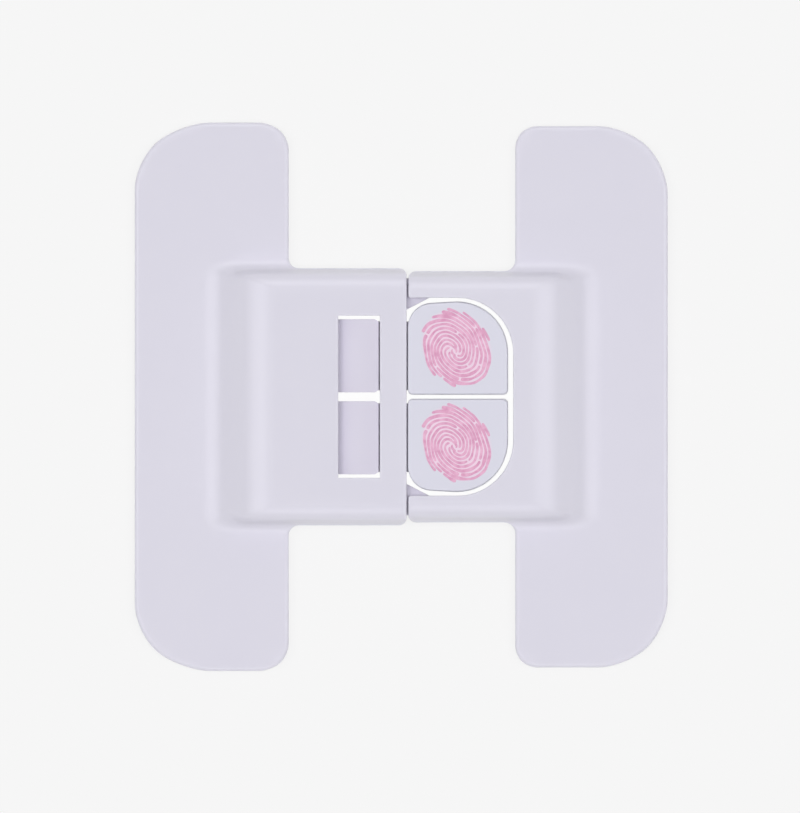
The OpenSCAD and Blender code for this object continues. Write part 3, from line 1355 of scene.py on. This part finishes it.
@dataclass
class Button:
    """A finger button with a large round corner, sides drafted except at the seam, and two pegs.

    Lengths are in millimetres. The button is drawn on the upper side, and mirrored for the lower one.
    """

    side: Side
    face_gap: float = 0.05
    seam_drop: float = 0.45
    tip_rise: float = 0.5
    slit_gap: float = 0.07
    seam_close: float = 0.07
    draft: float = 0.17
    large_r: float = 9.2
    heel_r: float = 3.8
    inner_r: float = 0.8
    rim: float = 0.24
    rim_steps: int = 5
    peg_d: float = 2.4
    peg_edge: float = 0.15
    peg_root: float = 1.0
    peg_shares: Point = (0.25, 0.75)

    def __post_init__(self) -> None:
        """Take the button's place and size from the frame."""
        low, high = node_box("upper_button")
        tongue_low, tongue_high = node_box("upper_tongue")
        self.x = (low.x - self.seam_close, high.x)
        self.y = (low.y + self.slit_gap, high.y)
        self.foot_z = node_box("latch_frame")[1].z
        self.face_z = high.z - self.face_gap
        self.peg_foot = low.z
        self.peg_y = (tongue_low.y + tongue_high.y) / 2

    def mesh(self) -> BMesh:
        """Build the button's mesh.

        Returns:
            The closed mesh, in millimetres.
        """
        bm = bmesh.new()
        (x0, x1), (y0, y1) = self.x, self.y
        near = [(x0, y0, self.inner_r), (x1, y0, self.inner_r * APART)]
        far = [(x1, y1 + self.tip_rise, self.large_r), (x0, y1 - self.seam_drop, self.heel_r)]
        corner_outline(bm, near + far)
        bmesh.ops.translate(bm, vec=(0.0, 0.0, self.foot_z), verts=bm.verts)
        top = set(extrude_up(bm, self.face_z - self.foot_z))
        bmesh.ops.scale(
            bm,
            vec=(1 - self.draft / (x1 - x0), 1 - 2 * self.draft / (y1 - y0), 1.0),
            space=Matrix.Translation((-x0, -(y0 + y1) / 2, 0.0)),
            verts=list(top),
        )
        bevel(bm, [e for e in bm.edges if top.issuperset(e.verts)], self.rim, self.rim_steps)
        for share in self.peg_shares:
            centre = (x0 + share * (x1 - x0), self.peg_y)
            add_pin(bm, centre, self.peg_foot, self.foot_z + self.peg_root, self.peg_d, self.peg_edge)
        bmesh.ops.scale(bm, vec=(1.0, float(self.side.value), 1.0), verts=bm.verts)
        return bm

    def build(self, plastic: Material) -> Object:
        """Build the button and dress it in its plastic, with the veil of its print."""
        piece = new_piece(self.mesh(), f"{self.side.word}_finger_button", plastic)
        return seat(piece, self.side.lever, Slot.BUTTON, f"{self.side.word}_button")


@dataclass(frozen=True)
class Wave:
    """A sine over two numbers: its size, how fast it turns with each of them, and its shift."""

    size: float
    first: float
    second: float
    shift: float = 0.0

    def at(self, first: float, second: float) -> float:
        """Height of the wave at a place."""
        return self.size * math.sin(self.first * first + self.second * second + self.shift)


@dataclass
class FingerPrint:
    """A generic finger sign: a whorl of evenly spaced ridges that unwind from a small circle.

    Lengths are in millimetres.
    """

    side: Side
    face_z: float
    centre: Point
    core_shift: Point = (-0.5, -0.45)
    half_length: float = 6.85
    half_width: float = 5.65
    tilt: float = math.radians(-55)
    arms: int = 7
    pitch: float = 0.63
    stretch: float = 1.16
    bends: tuple[Wave, ...] = (Wave(0.1, 1.1, 0.6, 0.4), Wave(0.035, -0.8, 2.3, 1.9))
    bend_across: float = 0.8
    step: float = 0.14
    first_turn: float = 0.25
    least_turn: float = 0.3
    widest_turn: float = 0.3
    arm_limit: float = 9.0
    core_arms: int = 2
    core_turn: float = 0.6
    core_limit: float = 1.02
    ridge_half: float = 0.205
    ridge_t: float = 0.018
    swells: tuple[Wave, ...] = (Wave(0.12, 0.13, 1.0), Wave(0.08, 0.37, 2.0))
    patches: tuple[Wave, ...] = (
        Wave(1.0, 0.95, 0.0, 0.7),
        Wave(1.0, 0.0, 0.8, -0.5),
        Wave(0.6, 0.6, -1.1, 2.0),
    )
    blot_power: int = 3
    blot_share: float = 0.36
    edge_swell: float = 0.08
    first_run: tuple[int, int] = (40, 120)
    later_run: tuple[int, int] = (60, 160)
    reaches: Point = (0.98, 1.01)
    reach_wave: Wave = Wave(0.02, 0.25, 1.0)
    last_phase: float = 6.28
    least_points: int = 10
    tip_points: float = 0.6
    taper_points: float = 2.5
    tip_share: float = 0.45
    seed: int = 11

    def base_r(self, arms: int) -> float:
        """Radius of the circle that a number of ridges unwinds from."""
        return arms * self.pitch / (2 * math.pi)

    def haze(self) -> PrintHaze:
        """Veil of ink that lies between the ridges."""
        return PrintHaze(self.centre, self.half_length, self.half_width, self.tilt, self.face_z)

    def laid(self, x: float, y: float) -> Point:
        """Place of a ridge point on the button, stretched, turned and slightly waved.

        Args:
            x: Place along the print's long axis, from its core.
            y: Place across it.

        Returns:
            The place in the lock's plan.
        """
        x, y = x * self.stretch, y / self.stretch
        bend = sum(wave.at(x, y) for wave in self.bends)
        x, y = x + bend, y + self.bend_across * bend
        c, s = math.cos(self.tilt), math.sin(self.tilt)
        return (
            self.centre[0] + self.core_shift[0] + x * c - y * s,
            self.centre[1] + self.core_shift[1] + x * s + y * c,
        )

    def inside(self, place: Point, reach: float) -> bool:
        """Whether a place lies within the print's edge.

        Args:
            place: Place in the lock's plan.
            reach: Share of the print's size at which this ridge ends.

        Returns:
            True within the edge.
        """
        dx, dy = place[0] - self.centre[0], place[1] - self.centre[1]
        c, s = math.cos(self.tilt), math.sin(self.tilt)
        along, across = dx * c + dy * s, dy * c - dx * s
        return math.hypot(along / self.half_length, across / self.half_width) < reach

    def blot(self, place: Point) -> float:
        """How much wider a ridge is where the ink has spread.

        Args:
            place: Place in the lock's plan.

        Returns:
            Growth as a share of the ridge's width.
        """
        x, y = place[0] - self.centre[0], place[1] - self.centre[1]
        first, second, third = (wave.at(x, y) for wave in self.patches)
        out = min(1.0, math.hypot(x, y) / self.half_width)
        return (self.blot_share * max(0.0, first * second + third) + self.edge_swell) * out**self.blot_power

    def arm(self, turn: float, base: float, limit: float) -> list[Point]:
        """Points of one ridge as it unwinds.

        Args:
            turn: Angle at which it starts.
            base: Radius of the circle that it unwinds from.
            limit: Distance from the core at which it stops.

        Returns:
            The ridge's points on the button.
        """
        places, t = [], self.first_turn
        while base * math.hypot(1, t) < limit:
            angle = turn + t
            x = base * (math.cos(angle) + t * math.sin(angle))
            y = base * (math.sin(angle) - t * math.cos(angle))
            places.append(self.laid(x, y))
            t += min(self.widest_turn, self.step / (base * max(t, self.least_turn)))
        return places

    def whorl(self, arms: int, turn: float, limit: float) -> list[list[Point]]:
        """Ridges that unwind side by side, from the angle of the first to a distance from the core."""
        turns = [turn + 2 * math.pi * i / arms for i in range(arms)]
        return [self.arm(start, self.base_r(arms), limit) for start in turns]

    def broken(self, path: Sequence[Point], draw: random.Random) -> list[Stroke]:
        """Break a ridge up into strokes of varied width.

        Args:
            path: Points of the ridge.
            draw: Source of its breaks, its phase and its reach.

        Returns:
            Points and half widths of each stroke.
        """
        strokes: list[Stroke] = [[]]
        run, pause = draw.randint(*self.first_run), 0
        phase, reach = draw.uniform(0, self.last_phase), draw.uniform(*self.reaches)
        for i, place in enumerate(path):
            if pause > 0 or not self.inside(place, reach + self.reach_wave.at(i, phase)):
                pause = max(0, pause - 1)
                strokes.append([])
                continue
            swell = sum(wave.at(i, phase) for wave in self.swells)
            strokes[-1].append((place, self.ridge_half * (1.0 + swell + self.blot(place))))
            run -= 1
            if run == 0:
                run, pause = draw.randint(*self.later_run), 1
        return [stroke for stroke in strokes if len(stroke) >= self.least_points]

    def ridges(self) -> list[Stroke]:
        """Strokes of the whole print, with its core.

        Returns:
            Points and half widths of each stroke.
        """
        draw = random.Random(self.seed)
        whorl = self.whorl(self.arms, 0.0, self.arm_limit)
        core = self.whorl(self.core_arms, self.core_turn, self.base_r(self.arms) * self.core_limit)
        strokes = [stroke for path in whorl for stroke in self.broken(path, draw)]
        return strokes + [[(place, self.ridge_half) for place in path] for path in core]

    def build(self, ink: Material) -> Object:
        """Draw the ridges as flat strokes of ink on the button.

        Args:
            ink: The ink.

        Returns:
            The finished piece.
        """
        name = f"{self.side.word}_finger_sign"
        curve = bpy.data.curves.new(name + "_strokes", "CURVE")
        curve.dimensions = "3D"
        curve.bevel_depth = 1.0
        curve.bevel_resolution = 1
        curve.use_fill_caps = True
        for stroke in self.ridges():
            line = curve.splines.new("POLY")
            line.points.add(len(stroke) - 1)
            for i, (point, ((x, y), half)) in enumerate(zip(line.points, stroke)):
                from_end = min(i, len(stroke) - 1 - i) + self.tip_points
                taper = min(1.0, from_end / self.taper_points)
                point.co = (x, y, 0.0, 1.0)
                point.radius = half * (self.tip_share + (1 - self.tip_share) * taper)
        drawn = bpy.data.objects.new(name + "_strokes", curve)
        bm = bmesh.new()
        bm.from_mesh(drawn.to_mesh())
        drawn.to_mesh_clear()
        bpy.data.objects.remove(drawn)
        bpy.data.curves.remove(curve)
        bmesh.ops.remove_doubles(bm, verts=bm.verts, dist=STROKE_MERGE)
        bmesh.ops.scale(bm, vec=(1.0, 1.0, self.ridge_t / self.ridge_half), verts=bm.verts)
        bmesh.ops.translate(bm, vec=(0.0, 0.0, self.face_z), verts=bm.verts)
        return seat(new_piece(bm, name, ink), self.side.lever, Slot.INK)


@dataclass
class TapePad:
    """A pad of foam tape under a wing, with soft cut edges. Lengths are in millimetres."""

    half: Body
    place: TapePlace
    edge: float = 0.16
    small_r: float = 1.5
    outer_r: float = 10.3
    inner_r: float = 2.7

    @property
    def node(self) -> str:
        """Name of the pad's node."""
        return f"{self.half.value}_tape_{self.place.value}"

    def radii(self) -> tuple[float, ...]:
        """Radii of the pad's corners in order, as on the upper right wing."""
        ends = (self.small_r, self.small_r * APART, self.outer_r, self.inner_r)
        return (self.small_r,) * 4 if self.place is TapePlace.MIDDLE else ends

    def build(self, foam: Material) -> Object:
        """Build and dress the pad.

        Args:
            foam: The foam.

        Returns:
            The finished piece.
        """
        low, high = node_box(self.node)
        flip_x = -1.0 if self.half is Body.KEEPER else 1.0
        flip_y = -1.0 if self.place is TapePlace.LOWER else 1.0
        x0, x1 = sorted((low.x * flip_x, high.x * flip_x))
        y0, y1 = sorted((low.y * flip_y, high.y * flip_y))
        places = ((x0, y0), (x1, y0), (x1, y1), (x0, y1))
        bm = bmesh.new()
        corner_outline(bm, [(*place, radius) for place, radius in zip(places, self.radii())])
        top = set(extrude_up(bm, high.z - low.z))
        bevel(bm, [e for e in bm.edges if (e.verts[0] in top) == (e.verts[1] in top)], self.edge)
        bmesh.ops.translate(bm, vec=(0.0, 0.0, low.z), verts=bm.verts)
        bmesh.ops.scale(bm, vec=(flip_x, flip_y, 1.0), verts=bm.verts)
        piece = new_piece(bm, f"{self.half.value}_foam_{self.place.value}", foam)
        return seat(piece, self.half, Slot.TAPE, self.node)


@dataclass
class Studio:
    """Pale floor, even front light with soft boxes round it, and a camera straight above the lock.

    Lengths are in metres, except for the lens and the sensor, which are in millimetres.
    """

    frame_h: float = 0.13715
    aim: Vector = field(default_factory=lambda: Vector((-0.00021, -0.00164, 0.004)))
    lens: float = 500.0
    sensor: float = 36.0
    clip: Point = (0.01, 20.0)
    front_height: float = 2.2
    front_size: float = 0.5
    front_power: float = 10.0
    front_tilt: float = math.radians(20)
    side_size: float = 0.8
    side_power: float = 12.75
    ring_boxes: int = 4
    ring_distance: float = 0.6
    ring_tilt: float = math.radians(42)
    ring_size: float = 0.45
    ring_power: float = 1.15
    world_light: float = 0.32
    floor_half: float = 3.0
    floor_drop: float = 0.0001

    def floor(self, finish: PaleFloor) -> None:
        """Lay the floor just under the tape.

        Args:
            finish: The floor's finish.
        """
        bm = bmesh.new()
        bmesh.ops.create_grid(bm, x_segments=2, y_segments=2, size=self.floor_half)
        bmesh.ops.translate(bm, vec=(0.0, 0.0, -self.floor_drop), verts=bm.verts)
        mesh = bpy.data.meshes.new("floor")
        bm.to_mesh(mesh)
        bm.free()
        mesh.materials.append(finish.material())
        new_object("floor", mesh)

    @staticmethod
    def lamp(name: str, place: Vector, size: float, power: float) -> Object:
        """Hang one square soft box that faces the lock.

        Args:
            name: Name of the lamp.
            place: Place of the lamp.
            size: Length of its sides.
            power: Its power.

        Returns:
            The lamp.
        """
        data = bpy.data.lights.new(name, "AREA")
        data.size = size
        data.energy = power
        lamp = new_object(name, data)
        lamp.location = place
        lamp.rotation_euler = place.to_track_quat("Z", "Y").to_euler()
        return lamp

    def lamps(self) -> None:
        """Hang three front lamps for an even light and a ring of soft boxes for the gloss."""
        for name, tilt, size, power in (
            ("left", -self.front_tilt, self.side_size, self.side_power),
            ("middle", 0.0, self.front_size, self.front_power),
            ("right", self.front_tilt, self.side_size, self.side_power),
        ):
            away = Vector((math.sin(tilt), 0.0, math.cos(tilt)))
            front = self.lamp(f"front_lamp_{name}", away * self.front_height, size, power)
            front.visible_glossy = False
        out, up = math.sin(self.ring_tilt), math.cos(self.ring_tilt)
        for i in range(self.ring_boxes):
            turn = 2 * math.pi / self.ring_boxes * i
            away = Vector((out * math.cos(turn), out * math.sin(turn), up))
            box = self.lamp(f"soft_box_{i}", away * self.ring_distance, self.ring_size, self.ring_power)
            box.visible_diffuse = False

    def room(self) -> None:
        """Light the room a little from all round."""
        world = bpy.data.worlds.new("room")
        world.use_nodes = True
        sky = world.node_tree.nodes["Background"]
        sky.inputs["Color"].default_value = (1.0, 1.0, 1.0, 1.0)
        sky.inputs["Strength"].default_value = self.world_light
        bpy.context.scene.world = world

    def camera(self) -> None:
        """Hang the camera straight above the lock, with +Y up in the picture."""
        data = bpy.data.cameras.new("camera")
        data.lens = self.lens
        data.sensor_fit = "AUTO"
        data.sensor_width = self.sensor
        data.dof.use_dof = False
        data.clip_start, data.clip_end = self.clip
        camera = new_object("camera", data)
        camera.location = self.aim + Vector((0.0, 0.0, self.frame_h * self.lens / self.sensor))
        bpy.context.scene.camera = camera

    def build(self) -> None:
        """Set up the whole studio."""
        self.floor(PaleFloor())
        self.lamps()
        self.room()
        self.camera()
        bpy.context.scene.view_settings.view_transform = "Standard"


COVER_PLASTIC = MouldedPlastic("lilac_cover", linear(219, 217, 228), linear(221, 219, 229))
# The plug's lilac is a little darker and pinker than the cover's: partly the plug's own tint, partly painted
# shade for the recesses where the plug shows
PLUG_PLASTIC = MouldedPlastic("lilac_plug", linear(215, 211, 224), linear(212, 208, 222), roughness=0.45)
BUTTON_COLOURS = (linear(217, 217, 228), linear(219, 218, 229))
INK = PrintInk("pink_ink", linear(212, 150, 184), linear(228, 178, 206))
FOAM = FoamTape("white_foam", linear(232, 232, 228), linear(205, 204, 200))
PRINT_CENTRES = {Side.UPPER: (9.32, 8.17), Side.LOWER: (9.32, -7.86)}


def covers() -> list[Object]:
    """Build both covers."""
    plastic = COVER_PLASTIC.material()
    return [KeeperCover().build(plastic), LatchCover().build(plastic)]


def plug_and_levers() -> list[Object]:
    """Build the plug, the tongues, the buttons and their prints.

    Returns:
        The finished pieces.
    """
    plastic, ink = PLUG_PLASTIC.material(), INK.material()
    pieces = [Plug().build(plastic)]
    for side in Side:
        button = Button(side)
        sign = FingerPrint(side, button.face_z, PRINT_CENTRES[side])
        veiled = MouldedPlastic(f"lilac_button_{side.word}", *BUTTON_COLOURS, haze=sign.haze())
        pieces += [Tongue(side).build(plastic), button.build(veiled.material()), sign.build(ink)]
    return pieces


def tape() -> list[Object]:
    """Build the foam tape under both halves."""
    foam = FOAM.material()
    return [TapePad(half, place).build(foam) for half in (Body.KEEPER, Body.LATCH) for place in TapePlace]


def main() -> None:
    """Build the lock in order and report each piece's face count."""
    logging.basicConfig(level=logging.INFO, format="%(name)s: %(message)s")
    Studio().build()
    for piece in covers() + plug_and_levers() + tape():
        log.info("%s: %d faces", piece.name, len(piece.data.polygons))


if __name__ == "__main__":
    main()
